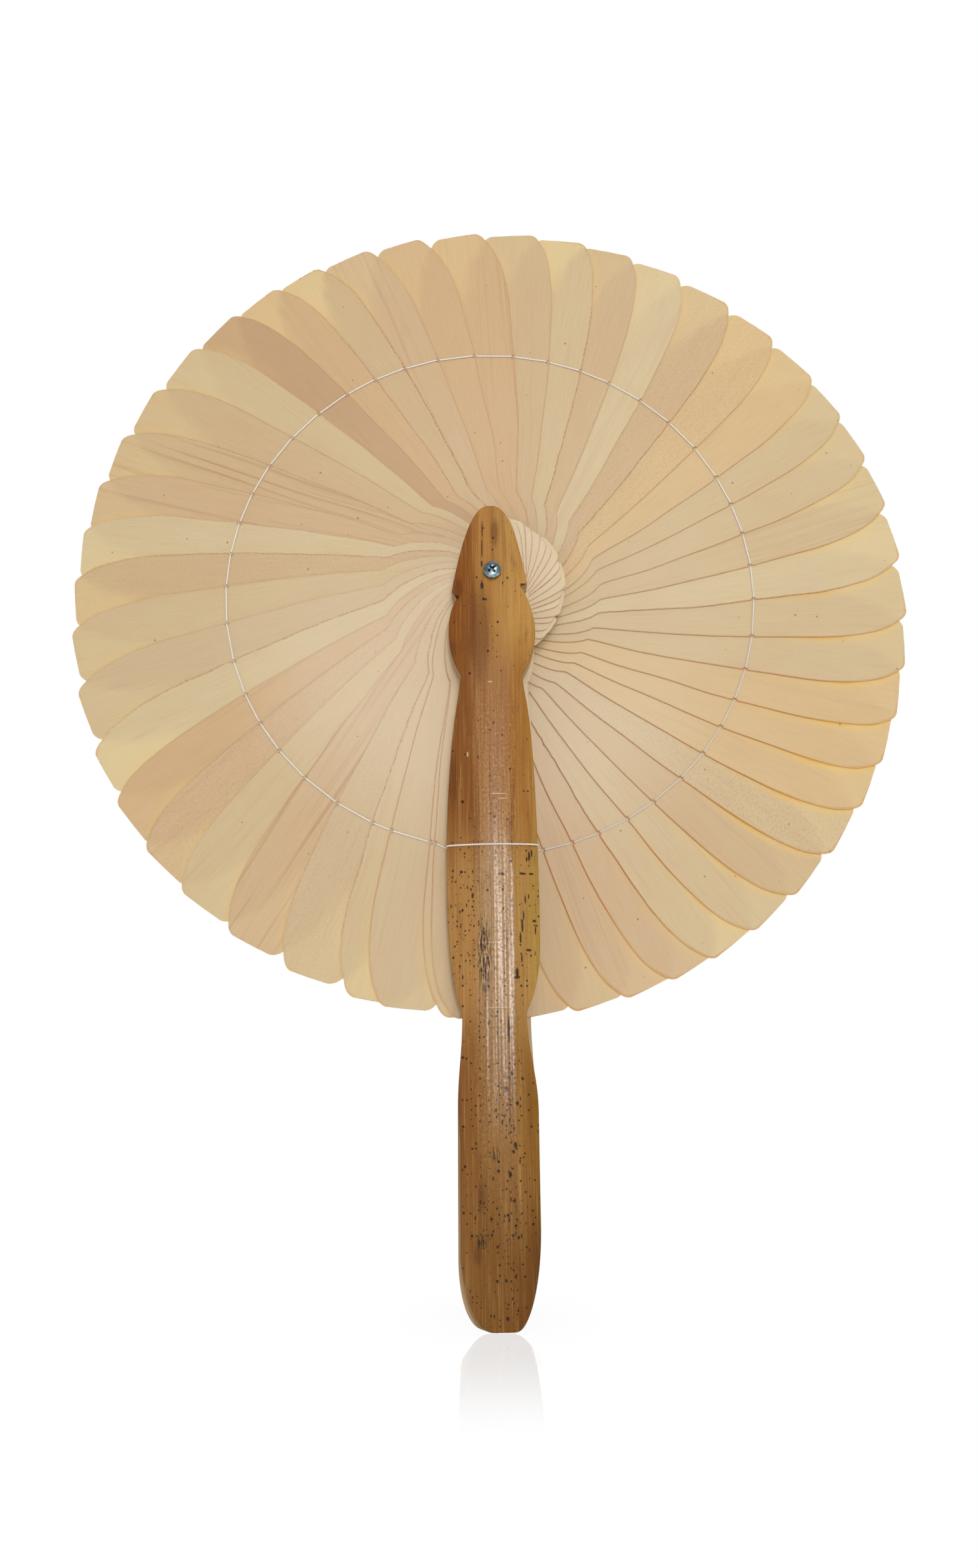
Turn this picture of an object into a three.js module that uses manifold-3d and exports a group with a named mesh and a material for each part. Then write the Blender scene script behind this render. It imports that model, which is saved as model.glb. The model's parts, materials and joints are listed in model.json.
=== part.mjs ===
// A folding hand fan opened to a full circle. Thin wooden leaves, cut to the outline of a fish,
// turn on one screw between two split-bamboo handle halves, and a thread ties leaf to leaf.
// Millimetres, +Z up. The front faces -Y and the fan stands upright on the butt of its handle.
import * as THREE from 'three';
import { mergeVertices } from 'three/addons/utils/BufferGeometryUtils.js';
import Module from 'manifold-3d';

const wasm = await Module();
wasm.setup();

// Fish outline of a handle half: distances below the pivot, and half-widths there
const snoutRise = 21.6;
const snoutHalf = 3.6;
const jawDrop = 4.3;
const jawHalf = 11.6;
const gillDrop = 6.8;
const gillHalf = 9.8;
const cheekDrop = 18.8;
const cheekHalf = 13.2;
const neckDrop = 33.3;
const neckHalf = 9.6;
const bellyDrop = 104;
const bellyHalf = 13.8;
const waistDrop = 135;
const waistHalf = 9.6;
const rearWaistEase = 2.2;
const gripDrop = 168;
const gripHalf = 11.4;
const buttDrop = 218.4;
const buttHalf = 4;

// Roundness of that outline: corners in millimetres, and how far each curve leans along its run
const snoutRound = 3;
const snoutCrown = 0.4;
const jawFlare = 2.1;
const jawRun = 10;
const gillRound = 2;
const cheekLean = 0.45;
const neckCut = 1.8;
const neckCutRun = 3.3;
const shoulderStart = 0.1;
const shoulderLean = 0.74;
const bellyLean = 0.75;
const waistLean = 0.1;
const gripLean = 0.4;
const buttLean = 0.7;

// Split bamboo: wall at the crown, and the radius of the culm's outer skin
const culmWall = 9.5;
const culmRadius = 38;

// Leaves: they overhang the handle's sides, most at the belly, and end at its waist
const leafCount = 48;
const leafThickness = 0.22;
const layerGap = 0.05;
const leafOverhang = 1.8;
const tailOverhang = 1.2;
const leafTipHalf = 6;
const tipLean = 0.55;
const tipRound = 0.62;
const tipCrown = 0.4;

// Spread of the open leaves, in degrees clockwise from the handle as seen from the front
const firstLeafAngles = [1.9, 3.4, 11.4];
const fanStart = 16.1;
const fanEnd = 353.8;
const drifts = [6.9, -2.45, 1.03];
const rippleSize = 0.67;
const ripplePeriod = 6.1;
const rippleLag = 1.23;

// Thread: its ring round the leaves, the nick that holds it, and the groove in each handle half
const threadRing = 86;
const threadDiameter = 0.55;
const threadGap = 0.2;
const nickWidth = 1.4;
const nickDepth = 0.7;
const threadSides = 8;
const stepsPerLeaf = 2;
const wrapSteps = 44;
const wrapPoints = 9;
const threadSlack = 0.1;

// Pivot: an M3 pan-head screw with a washer and a nut behind
const screwDiameter = 3;
const screwHeadDiameter = 5.6;
const screwHeadHeight = 2.2;
const screwHeadRim = 1.1;
const screwHeadCrown = 0.1;
const screwChamfer = 0.3;
const screwTip = 1.2;
const crossWidth = 0.9;
const crossLength = 3.1;
const crossDepth = 1.3;
const washerDiameter = 7;
const washerThickness = 0.5;
const nutFlats = 5.5;
const nutHeight = 2.4;
const boreClearance = 0.15;
const nutClearance = 0.05;
const roundSides = 10;
const headSides = 32;

// Steps on each curve of a leaf and of a handle half, and the spare length of a cutting body
const leafSteps = 3;
const handleSteps = 5;
const skinSteps = 12;
const cutMargin = 2;

const leafPitch = leafThickness + layerGap;
const stackHalf = (leafPitch * (leafCount - 1) + leafThickness) / 2;
const innerFace = stackHalf + layerGap;
const crownFace = innerFace + culmWall;
const pivotHeight = buttDrop;
const threadOffset = threadDiameter / 2 + threadGap;
const grooveDepth = threadDiameter + 2 * threadGap;
const boreRadius = screwDiameter / 2 + boreClearance;

const point = (x, y) => new THREE.Vector2(x, y);

// Solids for cutting and joining, from closed meshes with shared corners
function toSolid(geometry) {
  const plain = geometry.index ? geometry.toNonIndexed() : geometry.clone();
  plain.deleteAttribute('normal');
  plain.deleteAttribute('uv');
  const welded = mergeVertices(plain, 1e-4);
  const mesh = new wasm.Mesh({
    numProp: 3,
    vertProperties: new Float32Array(welded.attributes.position.array),
    triVerts: new Uint32Array(welded.index.array),
  });
  return new wasm.Manifold(mesh);
}

function toGeometry(solid) {
  const mesh = solid.getMesh();
  const geometry = new THREE.BufferGeometry();
  geometry.setAttribute('position', new THREE.BufferAttribute(mesh.vertProperties, 3));
  geometry.setIndex(new THREE.BufferAttribute(mesh.triVerts, 1));
  return geometry;
}

// A polygon whose flats clear a round shaft of the given radius
function roundHole(radius) {
  const corner = radius / Math.cos(Math.PI / roundSides);
  const turn = (i) => (2 * Math.PI * i) / roundSides;
  const corners = Array.from({ length: roundSides }, (_, i) =>
    point(corner * Math.cos(turn(i)), corner * Math.sin(turn(i))));
  return new THREE.Path(corners);
}

// An upright plate: the outline lies in XZ, and its back face is at Y = 0
function plate(shape, thickness) {
  const geometry = new THREE.ExtrudeGeometry(shape, { depth: thickness, bevelEnabled: false });
  return geometry.rotateX(Math.PI / 2);
}

// One side of the fish from the snout down to the belly, where it is widened by an overhang
function fishSide(overhang, rise, steps) {
  const widened = (drop) => overhang * Math.sqrt(Math.max(drop, 0) / bellyDrop);
  const at = (half, drop) => point(half + widened(drop), -drop);
  const snout = new THREE.CubicBezierCurve(
    at(snoutHalf, -rise), at(snoutHalf + snoutRound, -rise + snoutCrown),
    at(jawHalf - jawFlare, jawDrop - jawRun), at(jawHalf, jawDrop));
  const cheek = new THREE.CubicBezierCurve(
    at(gillHalf, gillDrop), at(gillHalf + gillRound, gillDrop + gillRound),
    at(cheekHalf, (gillDrop + 2 * cheekDrop) / 3), at(cheekHalf, cheekDrop));
  const neckRun = neckDrop - cheekDrop;
  const neck = new THREE.CubicBezierCurve(
    at(cheekHalf, cheekDrop), at(cheekHalf, cheekDrop + cheekLean * neckRun),
    at(neckHalf + neckCut, neckDrop - neckCutRun), at(neckHalf, neckDrop));
  const bellyRun = bellyDrop - neckDrop;
  const belly = new THREE.CubicBezierCurve(
    at(neckHalf, neckDrop), at(neckHalf, neckDrop + shoulderStart * bellyRun),
    at(bellyHalf, bellyDrop - shoulderLean * bellyRun), at(bellyHalf, bellyDrop));
  return [
    ...snout.getPoints(steps),
    ...cheek.getPoints(steps),
    ...neck.getPoints(steps).slice(1),
    ...belly.getPoints(steps + 1).slice(1),
  ];
}

const mirrored = (points) => points.map((p) => point(-p.x, p.y)).reverse();

// From the belly through the waist and the grip to the flat butt
function handleTail(waistEase, steps) {
  const waist = waistHalf + waistEase;
  const waistRun = waistDrop - bellyDrop;
  const gripRun = gripDrop - waistDrop;
  const buttRun = buttDrop - gripDrop;
  const curves = [
    new THREE.CubicBezierCurve(
      point(bellyHalf, -bellyDrop), point(bellyHalf, -bellyDrop - bellyLean * waistRun),
      point(waist, -waistDrop + waistLean * waistRun), point(waist, -waistDrop)),
    new THREE.CubicBezierCurve(
      point(waist, -waistDrop), point(waist, -waistDrop - gripLean * gripRun),
      point(gripHalf, -gripDrop + gripLean * gripRun), point(gripHalf, -gripDrop)),
    new THREE.CubicBezierCurve(
      point(gripHalf, -gripDrop), point(gripHalf, -gripDrop - buttLean * buttRun),
      point(THREE.MathUtils.lerp(buttHalf, gripHalf, buttLean), -buttDrop),
      point(buttHalf, -buttDrop)),
  ];
  return curves.flatMap((curve) => curve.getPoints(steps).slice(1));
}

// Distance from the culm's flat side to its skin, at a distance across it
const skinHeight = (across) => culmWall - culmRadius + Math.sqrt(culmRadius ** 2 - across ** 2);

// A handle half: the fish outline cut from the wall of a split culm, flat side to the leaves.
// side is -1 for the front half and 1 for the rear half, which is fuller at one side of the waist.
function handleHalf(side, waistEase) {
  const head = fishSide(0, snoutRise, handleSteps);
  const right = [...head, ...handleTail(waistEase, handleSteps)];
  const left = mirrored([...head, ...handleTail(0, handleSteps)]);
  const blank = plate(new THREE.Shape([...right, ...left]), culmWall + 2 * cutMargin);
  blank.translate(0, side < 0 ? cutMargin : culmWall + cutMargin, 0);

  const reach = Math.max(cheekHalf, bellyHalf, gripHalf, waistHalf + waistEase) + cutMargin;
  const skin = Array.from({ length: skinSteps + 1 }, (_, i) => {
    const across = reach * (1 - (2 * i) / skinSteps);
    return point(across, side * skinHeight(across));
  });
  const section = new THREE.Shape([point(-reach, 0), point(reach, 0), ...skin]);
  const length = buttDrop + snoutRise + 2 * cutMargin;
  const culm = new THREE.ExtrudeGeometry(section, { depth: length, bevelEnabled: false });
  culm.translate(0, 0, -buttDrop - cutMargin);

  const bore = plate(new THREE.Shape(roundHole(boreRadius).getPoints()), 2 * (culmWall + cutMargin));
  bore.translate(0, culmWall + cutMargin, 0);
  const groove = new THREE.BoxGeometry(2 * reach, 2 * grooveDepth, grooveDepth);
  groove.translate(0, 0, -threadRing);
  const solid = toSolid(blank).intersect(toSolid(culm))
    .subtract(toSolid(bore)).subtract(toSolid(groove));
  return toGeometry(solid).translate(0, side * innerFace, pivotHeight);
}

// Where a side, read downwards, reaches a distance from the pivot
function crossing(side, distance) {
  const after = side.findIndex((p) => -p.y > jawDrop && p.length() > distance);
  const above = side[after - 1];
  const below = side[after];
  const share = (distance - above.length()) / (below.length() - above.length());
  const along = below.clone().sub(above).normalize();
  return { after, place: above.clone().lerp(below, share), along };
}

// The clockwise side of a leaf, with a nick where the thread's ring crosses the edge
function nickedSide(side) {
  const { after, place, along } = crossing(side, threadRing);
  const inward = point(along.y, -along.x);
  const nick = [
    place.clone().addScaledVector(along, -nickWidth / 2),
    place.clone().addScaledVector(inward, nickDepth),
    place.clone().addScaledVector(along, nickWidth / 2),
  ];
  return [...side.slice(0, after), ...nick, ...side.slice(after)];
}

// Half a leaf: the fish side with its overhang, and a long round shoulder at the tip
function leafSide() {
  const half = bellyHalf + leafOverhang;
  const run = waistDrop - bellyDrop;
  const tip = new THREE.CubicBezierCurve(
    point(half, -bellyDrop), point(half, -bellyDrop - tipLean * run),
    point(THREE.MathUtils.lerp(leafTipHalf, half, tipRound), -waistDrop + tipCrown),
    point(leafTipHalf, -waistDrop));
  const body = fishSide(leafOverhang, snoutRise + tailOverhang, leafSteps);
  return [...body, ...tip.getPoints(leafSteps + 1).slice(1)];
}

function leafShape() {
  const side = leafSide();
  const shape = new THREE.Shape([...side, ...mirrored(nickedSide(side))]);
  shape.holes.push(roundHole(boreRadius));
  return shape;
}

// Axis of each open leaf: the first few lie by the front handle, the rest drift round the circle
function leafAngle(index) {
  if (index < firstLeafAngles.length) {
    return firstLeafAngles[index];
  }
  const first = firstLeafAngles.length;
  const share = (index - first) / (leafCount - 1 - first);
  const drift = drifts.reduce((sum, size, i) => sum + size * Math.sin((i + 1) * Math.PI * share), 0);
  const ripple = rippleSize * Math.sin((2 * Math.PI * (index + 1)) / ripplePeriod + rippleLag);
  return fanStart + (fanEnd - fanStart) * share + drift + ripple;
}

const leafFront = (index) => -stackHalf + index * leafPitch;

// The thread runs straight from nick to nick, just in front of each leaf
function threadPath() {
  const { place } = crossing(leafSide(), threadRing);
  const edgeAngle = Math.atan2(place.x, -place.y);
  return Array.from({ length: leafCount }, (_, i) => {
    const angle = THREE.MathUtils.degToRad(leafAngle(i)) + edgeAngle;
    return new THREE.Vector3(
      -threadRing * Math.sin(angle),
      leafFront(i) - threadOffset,
      pivotHeight - threadRing * Math.cos(angle));
  });
}

function threadTube(points, steps) {
  const turn = (i) => (2 * Math.PI * i) / threadSides;
  const section = new THREE.Shape(Array.from({ length: threadSides }, (_, i) =>
    point(Math.cos(turn(i)), Math.sin(turn(i))).multiplyScalar(threadDiameter / 2)));
  const extrudePath = new THREE.CatmullRomCurve3(points, false, 'catmullrom', threadSlack);
  return new THREE.ExtrudeGeometry(section, { extrudePath, steps, bevelEnabled: false });
}

// A turn of thread round a handle half: through the groove, and back over the culm's skin
function threadWrap(side) {
  const edge = crossing(fishSide(0, snoutRise, handleSteps), threadRing).place.x;
  const half = edge + threadOffset;
  const inGroove = grooveDepth / 2;
  const corner = skinHeight(edge) + threadGap;
  const over = Array.from({ length: wrapPoints }, (_, i) => edge * (1 - (2 * i) / (wrapPoints - 1)));
  const loop = [
    [threadDiameter - edge, inGroove],
    [0, inGroove],
    [edge, inGroove],
    [half, 2 * grooveDepth],
    [half, (2 * grooveDepth + corner) / 2],
    [half, corner],
    ...over.map((across) => [across, skinHeight(across) + threadOffset + threadGap]),
    [-half, corner],
    [-half, (2 * grooveDepth + corner) / 2],
    [-half, 2 * grooveDepth],
  ];
  const points = loop.map(([across, out]) =>
    new THREE.Vector3(across, side * (innerFace + out), pivotHeight - threadRing));
  return threadTube(points, wrapSteps);
}

// The pan-head screw, with its cross recess; the head is on the front half's crown
function pivotScrew() {
  const seat = -crownFace - layerGap;
  const tail = crownFace + washerThickness + nutHeight + 2 * layerGap + screwTip;
  const shank = screwDiameter / 2;
  const head = screwHeadDiameter / 2;
  const profile = [
    point(0, seat - screwHeadHeight),
    point(head / 2, seat - screwHeadHeight + screwHeadCrown),
    point((head + shank) / 2, seat - (screwHeadHeight + screwHeadRim) / 2),
    point(head, seat - screwHeadRim),
    point(head, seat),
    point(shank, seat),
    point(shank, tail - screwChamfer),
    point(shank - screwChamfer, tail),
    point(0, tail),
  ];
  const blank = toSolid(new THREE.LatheGeometry(profile, headSides));
  const slot = new THREE.BoxGeometry(crossLength, 2 * crossDepth, crossWidth);
  slot.translate(0, seat - screwHeadHeight, 0);
  const slots = toSolid(slot).add(toSolid(slot.clone().rotateY(Math.PI / 2)));
  return toGeometry(blank.subtract(slots)).translate(0, 0, pivotHeight);
}

function pivotWasher() {
  const rim = Array.from({ length: headSides }, (_, i) => {
    const angle = (2 * Math.PI * i) / headSides;
    return point(Math.cos(angle), Math.sin(angle)).multiplyScalar(washerDiameter / 2);
  });
  const shape = new THREE.Shape(rim);
  shape.holes.push(roundHole(boreRadius));
  const back = crownFace + layerGap + washerThickness;
  return plate(shape, washerThickness).translate(0, back, pivotHeight);
}

function pivotNut() {
  const corner = nutFlats / Math.sqrt(3);
  const rim = Array.from({ length: 6 }, (_, i) => {
    const angle = (Math.PI * i) / 3;
    return point(corner * Math.cos(angle), corner * Math.sin(angle));
  });
  const shape = new THREE.Shape(rim);
  shape.holes.push(roundHole(screwDiameter / 2 + nutClearance));
  const back = crownFace + 2 * layerGap + washerThickness + nutHeight;
  return plate(shape, nutHeight).translate(0, back, pivotHeight);
}

const finishes = {
  bamboo: { color: 0xa9743a, roughness: 0.42, metalness: 0 },
  zinc: { color: 0xb9c2c6, roughness: 0.3, metalness: 1 },
  thread: { color: 0xf1ede4, roughness: 0.85, metalness: 0 },
};
const leafTones = [0xdcc49a, 0xd8b98c, 0xe3cfa2, 0xd3b084, 0xdfc592];

const fan = new THREE.Group();

function addPiece(name, geometry, finish) {
  const piece = new THREE.Mesh(geometry, new THREE.MeshStandardMaterial(finish));
  piece.name = name;
  fan.add(piece);
  return piece;
}

addPiece('front_handle', handleHalf(-1, 0), finishes.bamboo);
addPiece('rear_handle', handleHalf(1, rearWaistEase), finishes.bamboo);

const oneLeaf = plate(leafShape(), leafThickness);
for (let i = 0; i < leafCount; i++) {
  const color = leafTones[i % leafTones.length];
  const name = `leaf_${String(i + 1).padStart(2, '0')}`;
  const leaf = addPiece(name, oneLeaf, { color, roughness: 0.65, metalness: 0 });
  leaf.position.set(0, leafFront(i) + leafThickness, pivotHeight);
  leaf.rotation.y = THREE.MathUtils.degToRad(leafAngle(i));
}

addPiece('binding_thread', threadTube(threadPath(), stepsPerLeaf * leafCount), finishes.thread);
addPiece('front_thread_wrap', threadWrap(-1), finishes.thread);
addPiece('rear_thread_wrap', threadWrap(1), finishes.thread);
addPiece('pivot_screw', pivotScrew(), finishes.zinc);
addPiece('pivot_washer', pivotWasher(), finishes.zinc);
addPiece('pivot_nut', pivotNut(), finishes.zinc);

export default fan;
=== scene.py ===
import json
import math

import bmesh
import bpy
import numpy as np
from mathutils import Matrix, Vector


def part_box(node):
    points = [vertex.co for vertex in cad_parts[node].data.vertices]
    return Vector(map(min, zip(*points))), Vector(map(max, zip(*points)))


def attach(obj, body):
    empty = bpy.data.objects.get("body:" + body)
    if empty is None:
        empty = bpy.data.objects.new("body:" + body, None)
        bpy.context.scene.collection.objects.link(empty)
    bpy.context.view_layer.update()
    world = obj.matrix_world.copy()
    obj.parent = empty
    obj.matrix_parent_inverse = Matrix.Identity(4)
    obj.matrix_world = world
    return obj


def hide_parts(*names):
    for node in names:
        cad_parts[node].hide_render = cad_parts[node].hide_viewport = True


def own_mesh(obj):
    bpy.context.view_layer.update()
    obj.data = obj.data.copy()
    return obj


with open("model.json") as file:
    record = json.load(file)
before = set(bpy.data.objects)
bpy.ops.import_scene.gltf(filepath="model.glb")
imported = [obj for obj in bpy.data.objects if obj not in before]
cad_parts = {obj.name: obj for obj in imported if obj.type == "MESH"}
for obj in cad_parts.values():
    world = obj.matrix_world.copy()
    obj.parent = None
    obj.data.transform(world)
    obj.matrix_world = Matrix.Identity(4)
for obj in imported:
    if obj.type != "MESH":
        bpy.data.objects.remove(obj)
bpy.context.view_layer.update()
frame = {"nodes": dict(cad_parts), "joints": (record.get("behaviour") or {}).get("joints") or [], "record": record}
scene = bpy.context.scene
mm = 0.001                                             # shapes are worked out in millimetres

# What the frame says: the pivot, each leaf's place in the stack and its angle when open
behaviour = frame["record"]["behaviour"]
foldJoint = next(joint for joint in frame["joints"] if joint["name"] == "fan_fold")
pivot = np.array(foldJoint["pos_m"]) / mm
turnShare = {row["joint"]: row["ratio"] for row in behaviour["couplings"]}
leafNames = sorted(name for name in frame["nodes"] if name.startswith("leaf_"))
openAngles = [360 * (1 - turnShare[name + "_turn"]) for name in leafNames]


def span(node, axis):
    # where a node begins and ends along an axis
    return [corner[axis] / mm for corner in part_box(node)]


leafFronts, leafBacks = zip(*(span(name, 1) for name in leafNames))
crownFace, innerFace = (-end for end in span("front_handle", 1))  # skin and flat side, from the middle
threadHeight = sum(span("front_thread_wrap", 2)) / 2
threadRing = pivot[2] - threadHeight
print("frame read:", len(leafNames), "leaves round a pivot at", pivot.round(1))


# Shapes

def ramp(value, start, run):
    # 0 up to the start, 1 after the run, straight between
    return np.clip((value - start) / run, 0, 1)


def sinCos(angle):
    return math.sin(math.radians(angle)), math.cos(math.radians(angle))


def travelled(path):
    # distance along a row of points
    return np.concatenate([[0], np.cumsum(np.linalg.norm(np.diff(path, axis=0), axis=1))])


def capped(grid):
    # a grid whose first and last rows are drawn together to a point
    first, last = (np.broadcast_to(row.mean(axis=0), row.shape)[None] for row in (grid[0], grid[-1]))
    return np.concatenate([first, grid, last])


def gridFaces(rows, cols, loopRows):
    # each face joins a point with its neighbours one row down and one column on
    here = np.arange(rows * cols).reshape(rows, cols)
    down = np.roll(here, -1, axis=0)
    faces = np.stack([here, np.roll(here, -1, axis=1), np.roll(down, -1, axis=1), down], axis=-1)
    return faces[:rows if loopRows else rows - 1].reshape(-1, 4)


def smooth(mesh, crease):
    mesh.shade_smooth()
    mesh.set_sharp_from_angle(angle=math.radians(crease))


def addObject(name, data):
    thing = bpy.data.objects.new(name, data)
    scene.collection.objects.link(thing)
    return thing


def makePiece(name, grid, loopRows=False, crease=35):
    # a surface of rows and closed columns; rows of one repeated point close into a pole
    faces = gridFaces(*grid.shape[:2], loopRows)
    mesh = bpy.data.meshes.new(name)
    mesh.from_pydata((grid.reshape(-1, 3) * mm).tolist(), [], faces.tolist())
    solid = bmesh.new()
    solid.from_mesh(mesh)
    bmesh.ops.remove_doubles(solid, verts=solid.verts, dist=1e-8)
    bmesh.ops.recalc_face_normals(solid, faces=solid.faces)
    solid.to_mesh(mesh)
    solid.free()
    smooth(mesh, crease)
    return addObject(name, mesh)


def pointsOf(piece):
    places = np.empty(3 * len(piece.data.vertices))
    piece.data.vertices.foreach_get("co", places)
    return places.reshape(-1, 3) / mm


def markPiece(piece, marks):
    # stores three numbers a point under each name, for the finishes to read
    for name, columns in marks.items():
        layer = piece.data.attributes.new(name, "FLOAT_VECTOR", "POINT")
        spread = np.stack(np.broadcast_arrays(*columns), axis=-1)
        layer.data.foreach_set("vector", spread.astype(np.float32).ravel())


def carve(piece, *tools, crease=35):
    # cuts the tools' shapes out of a piece
    for tool in tools:
        cut = piece.modifiers.new("cut", "BOOLEAN")
        cut.operation = "DIFFERENCE"
        cut.solver = "EXACT"
        cut.object = tool
    graph = bpy.context.evaluated_depsgraph_get()
    carved = bpy.data.meshes.new_from_object(piece.evaluated_get(graph))
    piece.modifiers.clear()
    piece.data = carved
    smooth(carved, crease)


def putAway(*tools):
    for tool in tools:
        bpy.data.objects.remove(tool)


def dress(piece, finish, body, node):
    piece.data.materials.clear()
    piece.data.materials.append(finish)
    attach(piece, body)
    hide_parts(node)


def revolve(profile, cols):
    # each row is a circle round the pivot's axis, of that radius, at that place along Y
    angle = np.linspace(0, 2 * np.pi, cols, endpoint=False)
    radius, along = np.asarray(profile, float).T
    return np.stack([
        pivot[0] + radius[:, None] * np.cos(angle),
        np.repeat(along[:, None], cols, axis=1),
        pivot[2] + radius[:, None] * np.sin(angle)], axis=-1)


# Shader nodes

def operator(operation, swapped=False):
    # a Math node on two values, as a method
    def run(self, other=0.0):
        first, second = (other, self) if swapped else (self, other)
        return self.finish.add("ShaderNodeMath", {"operation": operation}, {0: first, 1: second})
    return run


class Value:
    # one socket, so that sums on it are written as plain expressions
    def __init__(self, finish, socket):
        self.finish = finish
        self.socket = socket

    __add__, __radd__ = operator("ADD"), operator("ADD", True)
    __sub__, __rsub__ = operator("SUBTRACT"), operator("SUBTRACT", True)
    __mul__, __rmul__ = operator("MULTIPLY"), operator("MULTIPLY", True)
    __truediv__, __pow__, __abs__ = operator("DIVIDE"), operator("POWER"), operator("ABSOLUTE")
    atLeast, atMost = operator("MAXIMUM"), operator("MINIMUM")


class Finish:
    # a node tree, filled by one general method and a few short ways to call it
    def __init__(self, tree):
        self.tree = tree
        self.tree.nodes.clear()

    def add(self, kind, settings=None, sockets=None, out=0):
        node = self.tree.nodes.new(kind)
        for name, setting in (settings or {}).items():
            setattr(node, name, setting)
        for name, given in (sockets or {}).items():
            if isinstance(given, Value):
                self.tree.links.new(given.socket, node.inputs[name])
            else:
                node.inputs[name].default_value = given
        return Value(self, node.outputs[out]) if node.outputs else node

    def mark(self, name):
        return self.add("ShaderNodeAttribute", {"attribute_name": name}, out=1)

    def parts(self, vector):
        split = self.add("ShaderNodeSeparateXYZ", None, {0: vector}).socket.node
        return [Value(self, socket) for socket in split.outputs]

    def place(self, x, y, z=0.0):
        return self.add("ShaderNodeCombineXYZ", None, {0: x, 1: y, 2: z})

    def noise(self, place, detail=2.0, rough=0.5):
        return self.add("ShaderNodeTexNoise", None,
                        {"Vector": place, "Scale": 1.0, "Detail": detail, "Roughness": rough})

    def pattern(self, across, along, rule):
        # noise by its repeats a millimetre across and along, its offset, detail and roughness
        wide, long, offset, detail, rough = rule
        return self.noise(self.place(across * wide, along * long, offset), detail, rough)

    def specks(self, across, along, rule, rare):
        # dots in scattered cells, by repeats a millimetre and by shares of each cell's random size
        wide, long, outer, least, full = rule
        node = self.add("ShaderNodeTexVoronoi", {"voronoi_dimensions": "2D"}, {
            "Vector": self.place(across * wide, along * long), "Scale": 1.0, "Randomness": 1.0}).socket.node
        apart = Value(self, node.outputs[0])
        pick, size, _ = self.parts(Value(self, node.outputs[1]))
        return self.step(apart, size * outer + least, size * full) * self.step(pick, rare, rare + 0.02)

    def layers(self, colour, look, rows):
        # tones laid over a colour in turn: each where its value goes from low to high, times a share
        for name, value, share in rows:
            low, high, strength, tone = look[name]
            colour = self.mix(self.step(value, low, high) * (strength * share), colour, paint(*tone))
        return colour

    def step(self, value, low, high):
        return self.add("ShaderNodeMapRange", {"interpolation_type": "SMOOTHSTEP"},
                        {"Value": value, "From Min": low, "From Max": high})

    def mix(self, share, first, second):
        return self.add("ShaderNodeMix", {"data_type": "RGBA"}, {0: share, 6: first, 7: second}, out=2)

    def bump(self, height, strength, depth):
        return self.add("ShaderNodeBump", None,
                        {"Height": height, "Strength": strength, "Distance": depth * mm})

    def output(self, surface, kind="ShaderNodeOutputMaterial"):
        self.add(kind, None, {"Surface": surface})


def newMaterial(name):
    material = bpy.data.materials.new(name)
    material.use_nodes = True
    return material, Finish(material.node_tree)


def paint(red, green, blue):
    # a screen colour, 0 to 255, as the linear one that a socket takes
    share = np.array([red, green, blue]) / 255
    linear = np.where(share <= 0.04045, share / 12.92, ((share + 0.055) / 1.055) ** 2.4)
    return (*linear.tolist(), 1.0)


# Fish outline, in millimetres: drops below the pivot, half-widths there, and how each curve leans
fish = {
    "snoutRise": 21.6, "snoutHalf": 3.6, "snoutRound": 3.0, "snoutCrown": 0.4,
    "jawDrop": 4.3, "jawHalf": 11.6, "jawFlare": 2.1, "jawRun": 10.0,
    "gillDrop": 6.8, "gillHalf": 9.8, "gillRound": 2.0,
    "cheekDrop": 18.8, "cheekHalf": 13.2, "cheekLean": 0.45,
    "neckDrop": 33.3, "neckHalf": 9.6, "neckCut": 1.8, "neckCutRun": 3.3,
    "bellyDrop": 104.0, "bellyHalf": 13.8, "shoulderStart": 0.1, "shoulderLean": 0.74,
}


def curve(start, startPull, endPull, end, count):
    # cubic Bezier between two points, each with a pull
    t = np.linspace(0, 1, count)[:, None]
    shares = ((1 - t) ** 3, 3 * t * (1 - t) ** 2, 3 * t * t * (1 - t), t ** 3)
    points = [np.array(point, float) for point in (start, startPull, endPull, end)]
    return sum(share * point for share, point in zip(shares, points))


def stops(f, *names):
    # half-width and drop at each named place
    return [(f[name + "Half"], f[name + "Drop"]) for name in names]


def fishSide(f, counts):
    # rows of half-width and drop from the snout to the belly
    snout = (f["snoutHalf"], -f["snoutRise"])
    jaw, gill, cheek, neck, belly = stops(f, "jaw", "gill", "cheek", "neck", "belly")
    neckRun, bellyRun = neck[1] - cheek[1], belly[1] - neck[1]
    return np.concatenate([
        curve(snout, (snout[0] + f["snoutRound"], snout[1] + f["snoutCrown"]),
              (jaw[0] - f["jawFlare"], jaw[1] - f["jawRun"]), jaw, counts[0]),
        curve(gill, (gill[0] + f["gillRound"], gill[1] + f["gillRound"]),
              (cheek[0], (gill[1] + 2 * cheek[1]) / 3), cheek, counts[1]),
        curve(cheek, (cheek[0], cheek[1] + f["cheekLean"] * neckRun),
              (neck[0] + f["neckCut"], neck[1] - f["neckCutRun"]), neck, counts[2])[1:],
        curve(neck, (neck[0], neck[1] + f["shoulderStart"] * bellyRun),
              (belly[0], belly[1] - f["shoulderLean"] * bellyRun), belly, counts[3])[1:]])


# Leaves: thin closed plates, each a strip of rows from the tail to the tip

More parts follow.
